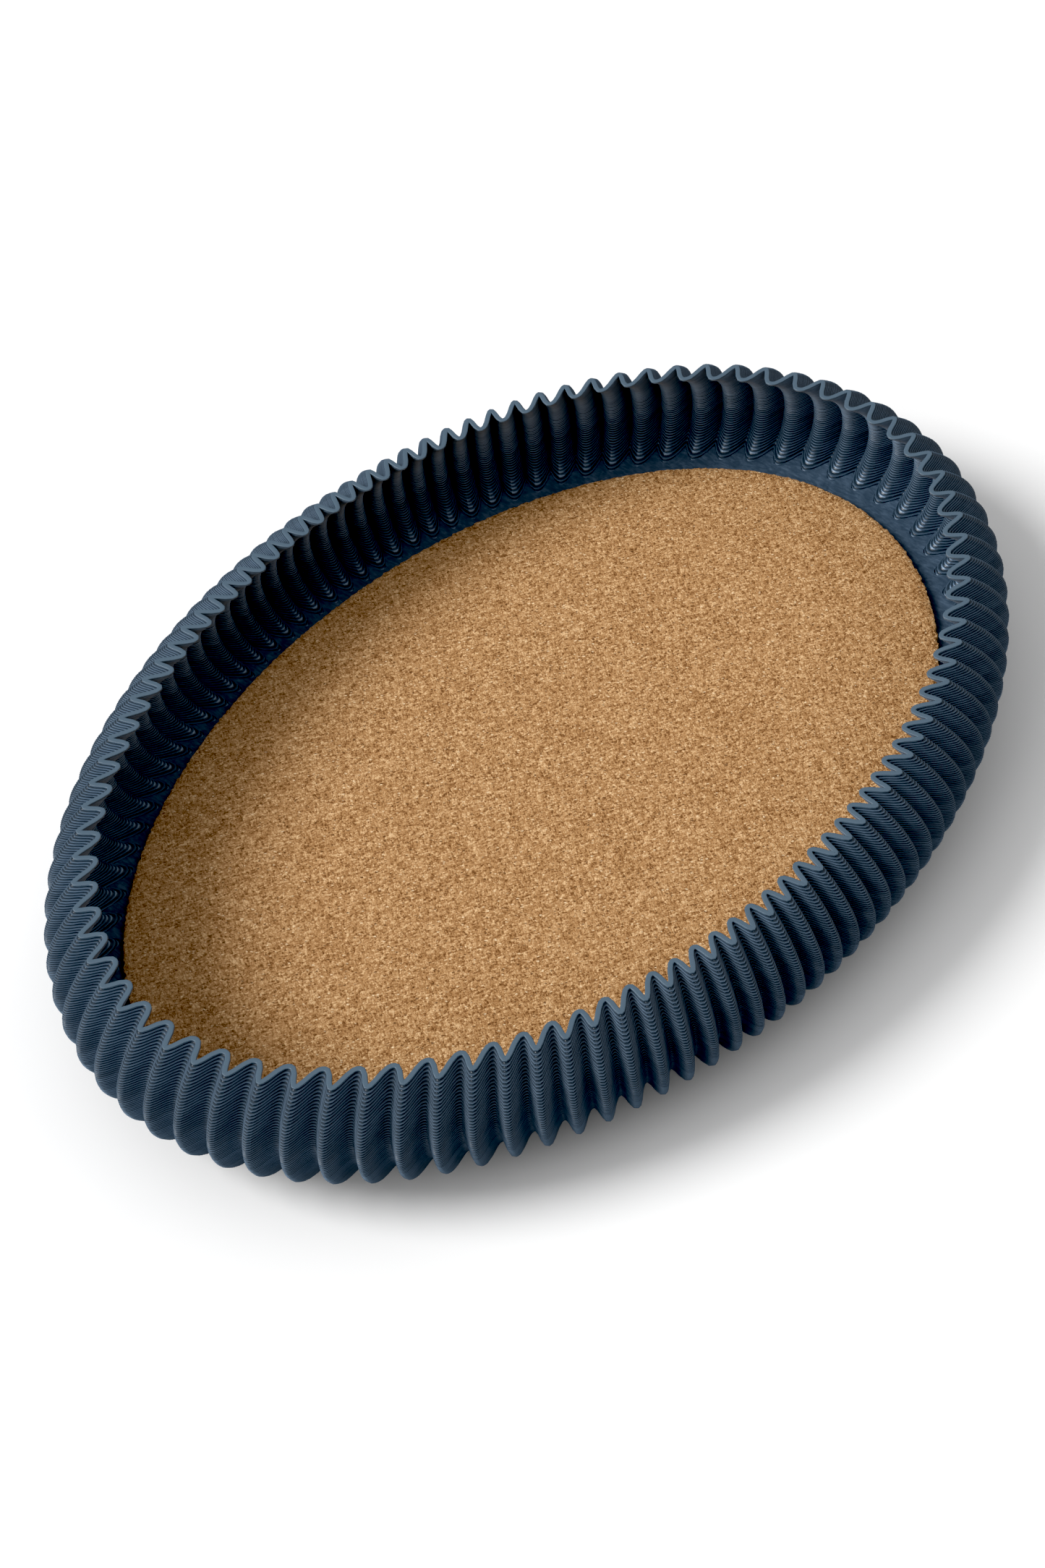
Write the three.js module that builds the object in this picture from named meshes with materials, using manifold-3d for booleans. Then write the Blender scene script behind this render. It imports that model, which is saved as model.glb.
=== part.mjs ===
// Oval cork pin board in a deep pleated frame.
//
// The frame is one printed piece: a thin wall folded into a hundred pleats, standing on a floor plate.
// A cork sheet is glued into it. An oval plywood panel is glued under the floor, and carries two
// D-ring hangers and four soft bumpers that hold the board off the wall.
//
// Millimetres. Origin at the middle of the plane of the bumpers' feet, +X along the oval,
// +Y up the wall when the board hangs, +Z out of the cork face.
import * as THREE from 'three';
import { mergeVertices } from 'three/addons/utils/BufferGeometryUtils.js';
import Module from 'manifold-3d';

const wasm = await Module();
wasm.setup();

// ---------- driving dimensions ----------

// Plan of the pleated wall: an ellipse with a wave laid on it, a fixed angle apart.
const RIM_HALF_LENGTH = 120.7;
const RIM_HALF_WIDTH = 82.8;
const PLEATS = 100;
const PLEAT_PHASE = 0.084; // of a pitch, from the nearest inner fold to the +X axis
const PLEAT_DEPTH = 2.55; // half the height of the wave
const PLEAT_ROUNDING = 0.45; // makes the inner folds wide and the outer folds narrow
const WALL_THICKNESS = 1.2;

// Side view of the wall: a parabola from the rim out to its widest, then a rounder curve in to the floor.
const FRAME_HEIGHT = 30.6;
const FLOOR_THICKNESS = 1.2;
const SWELL = 9.8;
const SWELL_DEPTH = 16.2; // of the widest level, below the rim
const FOOT_SWELL = 0.7;
const FOOT_CURL = 0.6; // the lower, the more suddenly the wall curls in at its foot
const COLUMNS_PER_PLEAT = 4;
const LEVELS_ABOVE = 3; // mesh levels from the rim to the widest level
const LEVELS_BELOW = 3; // and from there to the floor

// Cork face.
const CORK_HALF_LENGTH = 116.4;
const CORK_HALF_WIDTH = 79.8;
const CORK_THICKNESS = 2;
const CORK_OFFSET_X = -2.6; // the sheet is glued in a little off centre
const CORK_OFFSET_Y = -0.8;
const GLUE_THICKNESS = 0.2;
const GLUE_INSET = 1.5;

// Backing panel and what it carries.
const PANEL_HALF_LENGTH = 106;
const PANEL_HALF_WIDTH = 68;
const PANEL_THICKNESS = 3.6;
const BUMPER_RADIUS = 5;
const BUMPER_HEIGHT = 4;
const BUMPER_TAPER = 0.8;
const BUMPER_X = 80;
const BUMPER_Y = 32;

// D-ring hanger: a steel strip folded round the ring's straight bar and screwed to the panel.
const HANGER_X = 55;
const HANGER_Y = 24;
const STRIP_THICKNESS = 0.8;
const STRAP_WIDTH = 8;
const STRAP_LENGTH = 20;
const STRAP_HOLE_RADIUS = 1.25;
const RING_WIRE_RADIUS = 0.8;
const RING_CLEARANCE = 0.08;
const RING_HALF_WIDTH = 9;
const RING_CORNER_RADIUS = 2.5;
const SCREW_SPOTS = [-7, -15]; // along the strap, from the ring's bar

// Screws.
const SCREW_HEAD_RADIUS = 2;
const SCREW_HEAD_HEIGHT = 0.9;
const SCREW_RADIUS = 1;
const SCREW_LENGTH = 4.4;
const SCREW_TIP_LENGTH = 1;
const PILOT_CLEARANCE = 0.05;
const PILOT_DEPTH = 3.1;
const RECESS_LENGTH = 2.4;
const RECESS_WIDTH = 0.5;
const RECESS_DEPTH = 0.5;

// ---------- heights that follow from them ----------

const PANEL_BOTTOM = BUMPER_HEIGHT;
const PANEL_TOP = PANEL_BOTTOM + PANEL_THICKNESS;
const FRAME_BOTTOM = PANEL_TOP + GLUE_THICKNESS;
const FLOOR_TOP = FRAME_BOTTOM + FLOOR_THICKNESS;
const RIM_Z = FRAME_BOTTOM + FRAME_HEIGHT;
const FLOOR_DEPTH = RIM_Z - FLOOR_TOP;
const CORK_BOTTOM = FLOOR_TOP + GLUE_THICKNESS;

const STRAP_THICKNESS = 2 * STRIP_THICKNESS;
const LOOP_BORE_RADIUS = RING_WIRE_RADIUS + RING_CLEARANCE;
const LOOP_RADIUS = LOOP_BORE_RADIUS + STRIP_THICKNESS;
const RING_AXIS_Z = PANEL_BOTTOM - LOOP_RADIUS;

// ---------- materials ----------

const material = (color, roughness, metalness = 0) =>
  new THREE.MeshStandardMaterial({ color, roughness, metalness });

const bluePlastic = material(0x27435e, 0.5);
const cork = material(0xb58150, 0.9);
const glue = material(0xd8cfa8, 0.6);
const plywood = material(0xc9a877, 0.7);
const zincSteel = material(0xb4b8bc, 0.35, 0.9);
const darkRubber = material(0x2a2a2c, 0.8);

// ---------- solids and booleans ----------

function toSolid(geometry) {
  const bare = geometry.clone();
  bare.deleteAttribute('normal');
  bare.deleteAttribute('uv');
  const merged = mergeVertices(bare, 1e-4);
  return new wasm.Manifold(
    new wasm.Mesh({
      numProp: 3,
      vertProperties: new Float32Array(merged.attributes.position.array),
      triVerts: new Uint32Array(merged.index.array),
    }),
  );
}

function toGeometry(solid) {
  const { vertProperties, triVerts } = solid.getMesh();
  const geometry = new THREE.BufferGeometry();
  geometry.setAttribute('position', new THREE.BufferAttribute(vertProperties, 3));
  geometry.setIndex(new THREE.BufferAttribute(triVerts, 1));
  const flat = geometry.toNonIndexed();
  flat.computeVertexNormals();
  return flat;
}

function cutAway(geometry, cutters) {
  const remaining = cutters.reduce((solid, cutter) => solid.subtract(toSolid(cutter)), toSolid(geometry));
  return toGeometry(remaining);
}

// Cylinder standing on +Z, from height bottom to height top.
function post(radius, x, y, bottom, top, sides = 24) {
  return new THREE.CylinderGeometry(radius, radius, top - bottom, sides)
    .rotateX(Math.PI / 2)
    .translate(x, y, (bottom + top) / 2);
}

function ovalSlab(halfLength, halfWidth, thickness) {
  const outline = new THREE.Shape().absellipse(0, 0, halfLength, halfWidth, 0, 2 * Math.PI);
  return new THREE.ExtrudeGeometry(outline, { depth: thickness, bevelEnabled: false, curveSegments: 48 });
}

// Surface through a stack of closed loops that all have as many points, capped to a middle point at each end.
function loopSurface(firstMiddle, loops, lastMiddle) {
  const count = loops[0].length;
  const points = [firstMiddle, ...loops.flat(), lastMiddle];
  const last = points.length - 1;
  const at = (loop, i) => 1 + loop * count + (i % count);
  const faces = [];
  for (let i = 0; i < count; i++) {
    faces.push(0, at(0, i), at(0, i + 1));
    for (let loop = 0; loop + 1 < loops.length; loop++) {
      faces.push(at(loop, i), at(loop + 1, i), at(loop + 1, i + 1));
      faces.push(at(loop, i), at(loop + 1, i + 1), at(loop, i + 1));
    }
    faces.push(last, at(loops.length - 1, i + 1), at(loops.length - 1, i));
  }
  const geometry = new THREE.BufferGeometry().setFromPoints(points);
  geometry.setIndex(faces);
  geometry.computeVertexNormals();
  return geometry;
}

// ---------- pleated frame ----------

function ellipseRadius(angle) {
  const across = RIM_HALF_WIDTH * Math.cos(angle);
  const along = RIM_HALF_LENGTH * Math.sin(angle);
  return (RIM_HALF_LENGTH * RIM_HALF_WIDTH) / Math.hypot(across, along);
}

function pleatWave(angle) {
  const turn = PLEATS * angle + 2 * Math.PI * PLEAT_PHASE;
  return PLEAT_ROUNDING * Math.cos(2 * turn) - PLEAT_DEPTH * Math.cos(turn);
}

// How far the wall stands out of its rim at a depth below the rim.
function swellAt(depth) {
  if (depth < SWELL_DEPTH) return SWELL * (1 - (1 - depth / SWELL_DEPTH) ** 2);
  const share = Math.min(1, (depth - SWELL_DEPTH) / (FLOOR_DEPTH - SWELL_DEPTH));
  return FOOT_SWELL + (SWELL - FOOT_SWELL) * (1 - share * share) ** FOOT_CURL;
}

// Middle of the wall at a polar angle, then the point offset from it along the plan normal.
function wallPoint(angle, depth, offset) {
  const middle = (a) => {
    const r = ellipseRadius(a) + swellAt(depth) + pleatWave(a);
    return new THREE.Vector2(r * Math.cos(a), r * Math.sin(a));
  };
  const step = 1e-4;
  const along = middle(angle + step).sub(middle(angle - step)).normalize();
  const point = middle(angle).add(new THREE.Vector2(along.y, -along.x).multiplyScalar(offset));
  return new THREE.Vector3(point.x, point.y, RIM_Z - depth);
}

function wallLoop(depth, offset) {
  const columns = PLEATS * COLUMNS_PER_PLEAT;
  return Array.from({ length: columns }, (_, i) => {
    const angle = (2 * Math.PI * (i / COLUMNS_PER_PLEAT - PLEAT_PHASE)) / PLEATS;
    return wallPoint(angle, depth, offset);
  });
}

// Depths from the rim to the floor, closer together towards the foot, where the wall curls in fastest.
const WALL_DEPTHS = [
  ...Array.from({ length: LEVELS_ABOVE }, (_, i) => (SWELL_DEPTH * i) / LEVELS_ABOVE),
  ...Array.from({ length: LEVELS_BELOW + 1 }, (_, i) => {
    const turn = (Math.PI / 2) * (i / LEVELS_BELOW);
    return SWELL_DEPTH + (FLOOR_DEPTH - SWELL_DEPTH) * Math.sin(turn);
  }),
];

function pleatedFrame() {
  const inner = WALL_DEPTHS.map((depth) => wallLoop(depth, -WALL_THICKNESS / 2));
  const outer = WALL_DEPTHS.map((depth) => wallLoop(depth, WALL_THICKNESS / 2));
  const foot = wallLoop(FRAME_HEIGHT, WALL_THICKNESS / 2);
  return loopSurface(
    new THREE.Vector3(0, 0, FLOOR_TOP),
    [...inner.reverse(), ...outer, foot],
    new THREE.Vector3(0, 0, FRAME_BOTTOM),
  );
}

// ---------- back hardware ----------

const SIDES = [
  { name: 'left', x: -HANGER_X },
  { name: 'right', x: HANGER_X },
];

const SCREWS = SIDES.flatMap((side) =>
  SCREW_SPOTS.map((spot, i) => ({
    name: `screw_${side.name}_${i === 0 ? 'upper' : 'lower'}`,
    x: side.x,
    y: HANGER_Y + spot,
  })),
);

function backingPanel() {
  const slab = ovalSlab(PANEL_HALF_LENGTH, PANEL_HALF_WIDTH, PANEL_THICKNESS).translate(0, 0, PANEL_BOTTOM);
  const pilots = SCREWS.map(({ x, y }) =>
    post(SCREW_RADIUS + PILOT_CLEARANCE, x, y, PANEL_BOTTOM - 1, PANEL_BOTTOM + PILOT_DEPTH),
  );
  return cutAway(slab, pilots);
}

// Strap in the ring's frame: the hinge axis is local X, the panel is above, the tail points down the board.
function hangerStrap() {
  const tailBottom = LOOP_RADIUS - STRAP_THICKNESS;
  const joinAngle = Math.PI - Math.asin(tailBottom / LOOP_RADIUS);
  const outline = new THREE.Shape()
    .moveTo(-STRAP_LENGTH, tailBottom)
    .lineTo(LOOP_RADIUS * Math.cos(joinAngle), tailBottom)
    .absarc(0, 0, LOOP_RADIUS, joinAngle, Math.PI / 2, false)
    .lineTo(-STRAP_LENGTH, LOOP_RADIUS);
  outline.holes.push(new THREE.Path().absarc(0, 0, LOOP_BORE_RADIUS, 0, 2 * Math.PI));
  const strip = new THREE.ExtrudeGeometry(outline, {
    depth: STRAP_WIDTH,
    bevelEnabled: false,
    curveSegments: 12,
  });
  const alongBoard = new THREE.Vector3(0, 1, 0);
  const outOfBoard = new THREE.Vector3(0, 0, 1);
  const alongAxis = new THREE.Vector3(1, 0, 0);
  strip.applyMatrix4(new THREE.Matrix4().makeBasis(alongBoard, outOfBoard, alongAxis));
  strip.translate(-STRAP_WIDTH / 2, 0, 0);
  const holes = SCREW_SPOTS.map((spot) => post(STRAP_HOLE_RADIUS, 0, spot, -1, LOOP_RADIUS + 1));
  return cutAway(strip, holes);
}

// Round wire swept round a closed flat outline.
function closedWire(outline, radius, sides) {
  const corners = outline.getPoints(6).filter((p, i, all) => i === 0 || p.distanceTo(all[i - 1]) > 1e-6);
  if (corners[0].distanceTo(corners[corners.length - 1]) < 1e-6) corners.pop();
  const count = corners.length;
  const points = [];
  corners.forEach((corner, i) => {
    const before = corner.clone().sub(corners[(i + count - 1) % count]).normalize();
    const after = corners[(i + 1) % count].clone().sub(corner).normalize();
    const along = before.clone().add(after).normalize();
    const mitre = 1 / along.dot(after);
    for (let k = 0; k < sides; k++) {
      const turn = (2 * Math.PI * k) / sides;
      const out = radius * mitre * Math.cos(turn);
      points.push(
        new THREE.Vector3(corner.x + along.y * out, corner.y - along.x * out, radius * Math.sin(turn)),
      );
    }
  });
  const faces = [];
  for (let i = 0; i < count; i++) {
    for (let k = 0; k < sides; k++) {
      const a = i * sides + k;
      const b = i * sides + ((k + 1) % sides);
      const c = ((i + 1) % count) * sides + ((k + 1) % sides);
      const d = ((i + 1) % count) * sides + k;
      faces.push(a, c, b, a, d, c);
    }
  }
  const geometry = new THREE.BufferGeometry().setFromPoints(points);
  geometry.setIndex(faces);
  geometry.computeVertexNormals();
  return geometry;
}

// D-shaped ring in the hinge's frame: its straight bar lies on local X, its bow points up the board.
function hangerRing() {
  const straight = RING_HALF_WIDTH - RING_CORNER_RADIUS;
  const outline = new THREE.Path()
    .moveTo(-straight, 0)
    .lineTo(straight, 0)
    .absarc(straight, RING_CORNER_RADIUS, RING_CORNER_RADIUS, -Math.PI / 2, 0, false)
    .absarc(0, RING_CORNER_RADIUS, RING_HALF_WIDTH, 0, Math.PI, false)
    .absarc(-straight, RING_CORNER_RADIUS, RING_CORNER_RADIUS, Math.PI, 1.5 * Math.PI, false);
  return closedWire(outline, RING_WIRE_RADIUS, 16);
}

// Screw in its own frame: the head's underside at height 0, the head below it, the thread above.
function screw() {
  const profile = [
    [0, -SCREW_HEAD_HEIGHT],
    [SCREW_HEAD_RADIUS * 0.7, -SCREW_HEAD_HEIGHT],
    [SCREW_HEAD_RADIUS, -SCREW_HEAD_HEIGHT * 0.4],
    [SCREW_HEAD_RADIUS, 0],
    [SCREW_RADIUS, 0],
    [SCREW_RADIUS, SCREW_LENGTH - SCREW_TIP_LENGTH],
    [0, SCREW_LENGTH],
  ].map(([r, h]) => new THREE.Vector2(r, h));
  const body = new THREE.LatheGeometry(profile, 20).rotateX(Math.PI / 2);
  const recessAt = -SCREW_HEAD_HEIGHT + RECESS_DEPTH / 2;
  const slots = [0, Math.PI / 2].map((turn) =>
    new THREE.BoxGeometry(RECESS_LENGTH, RECESS_WIDTH, RECESS_DEPTH + 0.1)
      .rotateZ(turn)
      .translate(0, 0, recessAt - 0.05),
  );
  return cutAway(body, slots);
}

function bumper() {
  const profile = [
    [0, 0],
    [BUMPER_RADIUS - BUMPER_TAPER, 0],
    [BUMPER_RADIUS, BUMPER_TAPER],
    [BUMPER_RADIUS, BUMPER_HEIGHT],
    [0, BUMPER_HEIGHT],
  ].map(([r, h]) => new THREE.Vector2(r, h));
  return new THREE.LatheGeometry(profile, 32).rotateX(Math.PI / 2);
}

// ---------- assembly ----------

const board = new THREE.Group();

function add(name, geometry, finish, x = 0, y = 0, z = 0) {
  const mesh = new THREE.Mesh(geometry, finish);
  mesh.name = name;
  mesh.position.set(x, y, z);
  board.add(mesh);
}

add('pleated_frame', pleatedFrame(), bluePlastic);

add(
  'cork_glue',
  ovalSlab(CORK_HALF_LENGTH - GLUE_INSET, CORK_HALF_WIDTH - GLUE_INSET, GLUE_THICKNESS),
  glue,
  CORK_OFFSET_X,
  CORK_OFFSET_Y,
  FLOOR_TOP,
);
add(
  'cork_sheet',
  ovalSlab(CORK_HALF_LENGTH, CORK_HALF_WIDTH, CORK_THICKNESS),
  cork,
  CORK_OFFSET_X,
  CORK_OFFSET_Y,
  CORK_BOTTOM,
);

add(
  'panel_glue',
  ovalSlab(PANEL_HALF_LENGTH - GLUE_INSET, PANEL_HALF_WIDTH - GLUE_INSET, GLUE_THICKNESS),
  glue,
  0,
  0,
  PANEL_TOP,
);
add('backing_panel', backingPanel(), plywood);

for (const side of SIDES) {
  add(`hanger_strap_${side.name}`, hangerStrap(), zincSteel, side.x, HANGER_Y, RING_AXIS_Z);
  add(`hanger_ring_${side.name}`, hangerRing(), zincSteel, side.x, HANGER_Y, RING_AXIS_Z);
}
for (const { name, x, y } of SCREWS) {
  add(name, screw(), zincSteel, x, y, PANEL_BOTTOM - STRAP_THICKNESS);
}
for (const [across, xSign] of [['left', -1], ['right', 1]]) {
  for (const [up, ySign] of [['upper', 1], ['lower', -1]]) {
    add(`bumper_${up}_${across}`, bumper(), darkRubber, xSign * BUMPER_X, ySign * BUMPER_Y, 0);
  }
}

export default board;
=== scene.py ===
import math

import bpy
import numpy as np
from mathutils import Matrix, Vector


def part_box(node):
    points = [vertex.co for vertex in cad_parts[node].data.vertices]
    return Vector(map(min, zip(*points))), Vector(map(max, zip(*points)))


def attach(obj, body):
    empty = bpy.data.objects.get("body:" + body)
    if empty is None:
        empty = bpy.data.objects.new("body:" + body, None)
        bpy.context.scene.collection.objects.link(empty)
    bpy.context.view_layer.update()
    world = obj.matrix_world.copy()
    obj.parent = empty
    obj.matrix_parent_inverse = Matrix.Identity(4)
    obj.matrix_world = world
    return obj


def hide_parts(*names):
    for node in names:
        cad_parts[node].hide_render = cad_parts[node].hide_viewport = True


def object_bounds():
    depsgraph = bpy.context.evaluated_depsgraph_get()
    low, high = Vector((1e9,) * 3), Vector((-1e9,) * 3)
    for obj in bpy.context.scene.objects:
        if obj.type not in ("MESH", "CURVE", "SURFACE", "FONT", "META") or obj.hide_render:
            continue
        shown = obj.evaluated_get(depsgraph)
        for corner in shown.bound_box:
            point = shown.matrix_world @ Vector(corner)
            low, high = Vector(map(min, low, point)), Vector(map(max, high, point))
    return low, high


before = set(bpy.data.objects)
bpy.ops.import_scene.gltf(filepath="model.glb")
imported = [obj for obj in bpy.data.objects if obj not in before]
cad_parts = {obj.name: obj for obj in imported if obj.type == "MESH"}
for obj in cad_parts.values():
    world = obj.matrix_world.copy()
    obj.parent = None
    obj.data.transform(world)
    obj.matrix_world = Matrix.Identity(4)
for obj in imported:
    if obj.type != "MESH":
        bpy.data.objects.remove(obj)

CAD_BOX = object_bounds()
MM = 0.001

# ---------- driving dimensions of the frame, in millimetres ----------

# The rim's middle line, without its folds.
RIM_HALF_LENGTH = 120.7
RIM_HALF_WIDTH = 82.8

# Folds: their number, the part of a fold by which they start early, half their depth, and how much
# sharper they are outside than inside.
PLEATS = 100
PLEAT_PHASE = 0.084
PLEAT_DEPTH = 2.55
PLEAT_ROUNDING = 0.45
WALL_THICKNESS = 1.2

# Side curve: how far the wall stands out of its rim at its widest, how deep that is, and how far it
# stands out at its foot. The lower FOOT_CURL is, the more suddenly it curls in there.
SWELL = 9.8
SWELL_DEPTH = 16.2
FOOT_SWELL = 0.7
FOOT_CURL = 0.6
FLOOR_THICKNESS = 1.2

# Print layers. LEAST_JOINT is the least half thickness of the wall in a groove, and LAYER_WANDER the
# spread of the layers' own offsets to the side.
LAYER_HEIGHT = 0.6
BEAD_CORNER = 0.12
GROOVE_DEPTH = 0.15
LEAST_JOINT = 0.1
LAYER_WANDER = 0.015

# Meshes: columns to a fold, how much they crowd towards its tips, the angle in degrees above which an
# edge of the wall is sharp, the coarse rows' step in layers, and columns round the cork and the panel.
COLUMNS_PER_PLEAT = 12
TIP_CROWDING = 0.25
CREASE_ANGLE = 62
CORE_STEP = 4
CORK_COLUMNS = 960
PANEL_COLUMNS = 480

# ---------- places read from the frame, in millimetres ----------


def node_box(name):
    low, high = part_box(name)
    return np.array(low) / MM, np.array(high) / MM


FRAME_LOW, FRAME_HIGH = node_box("pleated_frame")
CORK_LOW, CORK_HIGH = node_box("cork_sheet")
PANEL_LOW, PANEL_HIGH = node_box("backing_panel")
FRAME_BOTTOM = FRAME_LOW[2]
RIM_Z = FRAME_HIGH[2]
FLOOR_TOP = FRAME_BOTTOM + FLOOR_THICKNESS
LAYERS = round((RIM_Z - FRAME_BOTTOM) / LAYER_HEIGHT)

# ---------- meshes ----------


def add_object(name, points, faces, body, smooth_angle):
    """A mesh piece from points in millimetres, riding on a CAD body."""
    mesh = bpy.data.meshes.new(name)
    mesh.from_pydata((np.asarray(points) * MM).tolist(), [], faces)
    mesh.polygons.foreach_set("use_smooth", [True] * len(mesh.polygons))
    mesh.set_sharp_from_angle(angle=math.radians(smooth_angle))
    mesh.update()
    piece = bpy.data.objects.new(name, mesh)
    bpy.context.scene.collection.objects.link(piece)
    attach(piece, body)
    return piece


def band_faces(rows, columns, closed):
    """Quads between neighbouring rows of a grid whose columns go all the way round."""
    row = np.arange(rows if closed else rows - 1)[:, None]
    column = np.arange(columns)[None, :]
    next_row = (row + 1) % rows
    next_column = (column + 1) % columns
    corners = [
        row * columns + column,
        next_row * columns + column,
        next_row * columns + next_column,
        row * columns + next_column,
    ]
    return np.stack([np.broadcast_to(c, (len(row), columns)) for c in corners], -1).reshape(-1, 4).tolist()


def ring_piece(name, rows, body="board", smooth_angle=CREASE_ANGLE):
    """A closed body from a section that closes on itself, its rows running down the outside."""
    grid = np.asarray(rows)
    faces = band_faces(grid.shape[0], grid.shape[1], True)
    return add_object(name, grid.reshape(-1, 3), faces, body, smooth_angle)


def disc_piece(name, top_centre, rows, bottom_centre, smooth_angle):
    """A closed body from a top middle point out over the rows and back to a bottom middle point."""
    grid = np.asarray(rows)
    count, columns = grid.shape[:2]
    points = np.vstack([grid.reshape(-1, 3), [top_centre], [bottom_centre]])
    top, bottom = len(points) - 2, len(points) - 1
    faces = band_faces(count, columns, False)
    last = (count - 1) * columns
    faces += [[top, c, (c + 1) % columns] for c in range(columns)]
    faces += [[bottom, last + (c + 1) % columns, last + c] for c in range(columns)]
    return add_object(name, points, faces, "board", smooth_angle)


def strip_piece(name, rows, smooth_angle):
    """A closed body from copies of one outline that follow each other, with a flat cap at each end."""
    grid = np.asarray(rows)
    count, columns = grid.shape[:2]
    faces = band_faces(count, columns, False)
    faces.append(list(range(columns)))
    faces.append(list(range(count * columns - 1, (count - 1) * columns - 1, -1)))
    return add_object(name, grid.reshape(-1, 3), faces, "board", smooth_angle)


def round_rows(profile, middle, columns=72):
    """Circles round a middle, one for each (radius, height) of a profile."""
    angle = np.arange(columns) * 2 * math.pi / columns
    x = middle[0] + np.outer([r for r, _ in profile], np.cos(angle))
    y = middle[1] + np.outer([r for r, _ in profile], np.sin(angle))
    z = np.outer([h for _, h in profile], np.ones(columns))
    return np.stack([x, y, z], -1)


def arc(start, end, steps):
    """Angles in radians from one angle in degrees to another."""
    return np.radians(np.linspace(start, end, steps))


def smooth_noise(x, y, size, seed):
    """Soft deterministic noise, mostly between -1 and 1, with features of the given size."""
    draw = np.random.RandomState(seed)
    total = np.zeros_like(x)
    waves = 7
    for _ in range(waves):
        heading = draw.uniform(0, 2 * math.pi)
        length = size * draw.uniform(0.6, 1.6)
        phase = draw.uniform(0, 2 * math.pi)
        total += np.sin(2 * math.pi * (x * math.cos(heading) + y * math.sin(heading)) / length + phase)
    return total / math.sqrt(waves)


# ---------- pleated wall ----------


def swell_at(depth):
    """How far the wall stands out of its rim at a depth below it."""
    if depth < SWELL_DEPTH:
        share = 1 - depth / SWELL_DEPTH
        return SWELL * (1 - share * share)
    share = min(1.0, (depth - SWELL_DEPTH) / (RIM_Z - FLOOR_TOP - SWELL_DEPTH))
    return FOOT_SWELL + (SWELL - FOOT_SWELL) * (1 - share * share) ** FOOT_CURL


def layer_swell(layer):
    """How far one printed layer stands out: the side curve, evened over its two neighbours."""
    if layer <= 0:
        return 0.0
    above = swell_at((layer - 1) * LAYER_HEIGHT)
    below = swell_at((layer + 1) * LAYER_HEIGHT)
    return (above + below) / 2


def column_angles():
    """Polar angles of the mesh columns, crowded towards the tips of the folds."""
    even = np.arange(PLEATS * COLUMNS_PER_PLEAT) * 2 * math.pi / COLUMNS_PER_PLEAT
    turn = even - TIP_CROWDING * np.sin(2 * even)
    return (turn - 2 * math.pi * PLEAT_PHASE) / PLEATS


ANGLES = column_angles()


def plan_curve(angle, swell):
    ellipse = (RIM_HALF_LENGTH * RIM_HALF_WIDTH) / np.hypot(
        RIM_HALF_WIDTH * np.cos(angle), RIM_HALF_LENGTH * np.sin(angle)
    )
    turn = PLEATS * angle + 2 * math.pi * PLEAT_PHASE
    wave = PLEAT_ROUNDING * np.cos(2 * turn) - PLEAT_DEPTH * np.cos(turn)
    r = ellipse + swell + wave
    return np.stack([r * np.cos(angle), r * np.sin(angle)], -1)


def wall_row(swell, offset, z):
    """One row of the wall: the plan curve at a swell, moved sideways by offset, at height z."""
    step = 1e-4
    along = plan_curve(ANGLES + step, swell) - plan_curve(ANGLES - step, swell)
    along /= np.linalg.norm(along, axis=1, keepdims=True)
    outward = np.stack([along[:, 1], -along[:, 0]], -1)
    flat = plan_curve(ANGLES, swell) + outward * offset
    return np.column_stack([flat, np.full(len(flat), z)])


def layer_rows(first, last, side):
    """Rows down one side of the wall, three to a layer. side is 1 outside, -1 inside."""
    wander = np.random.RandomState(5 + side).normal(0, LAYER_WANDER, LAYERS + 1)
    half = WALL_THICKNESS / 2
    rows = []
    for layer in range(first, last):
        here = layer_swell(layer)
        below = layer_swell(layer + 1)
        top = RIM_Z - layer * LAYER_HEIGHT
        face = side * (half + wander[layer])
        rows.append(wall_row(here, face, top - BEAD_CORNER))
        rows.append(wall_row(here, face, top - LAYER_HEIGHT + BEAD_CORNER))
        reach = max(half - GROOVE_DEPTH - abs(here - below) / 2, LEAST_JOINT)
        rows.append(wall_row((here + below) / 2, side * reach, top - LAYER_HEIGHT))
    return rows


def core_rows(first, last, offset):
    """Coarse rows up the middle of the wall, which nothing shows."""
    picked = list(range(last, first, -CORE_STEP)) + [first]
    return [wall_row(layer_swell(n), offset, RIM_Z - n * LAYER_HEIGHT) for n in picked]


def rim_rows():
    """The flat top bead, from the groove under its inner side over to its outer side."""
    half = WALL_THICKNESS / 2
    groove = wall_row(0, GROOVE_DEPTH - half, RIM_Z - LAYER_HEIGHT)
    inner = [wall_row(0, -half, RIM_Z - drop) for drop in (LAYER_HEIGHT - BEAD_CORNER, BEAD_CORNER)]
    crown = ((-0.93, 0.04), (-0.8, 0.01), (-0.4, 0.0), (0.4, 0.0), (0.8, 0.01), (0.93, 0.04))
    return [groove] + inner + [wall_row(0, share * half, RIM_Z - drop) for share, drop in crown]


# Half the gap between the outer and the inner bodies.
CORE_GAP = 0.01
BANDS = ("upper", "middle", "lower")


def outside_rows(first, last):
    """Section of one outer band of layers, closed by rows up the middle of the wall."""
    rows = rim_rows() + layer_rows(0, last, 1) if first == 0 else layer_rows(first - 1, last, 1)[2:]
    if last == LAYERS:
        foot = wall_row(layer_swell(LAYERS), WALL_THICKNESS / 2 - GROOVE_DEPTH, FRAME_BOTTOM)
        rows = rows[:-1] + [foot]
    return rows + core_rows(max(first, 1), last, CORE_GAP)


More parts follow.
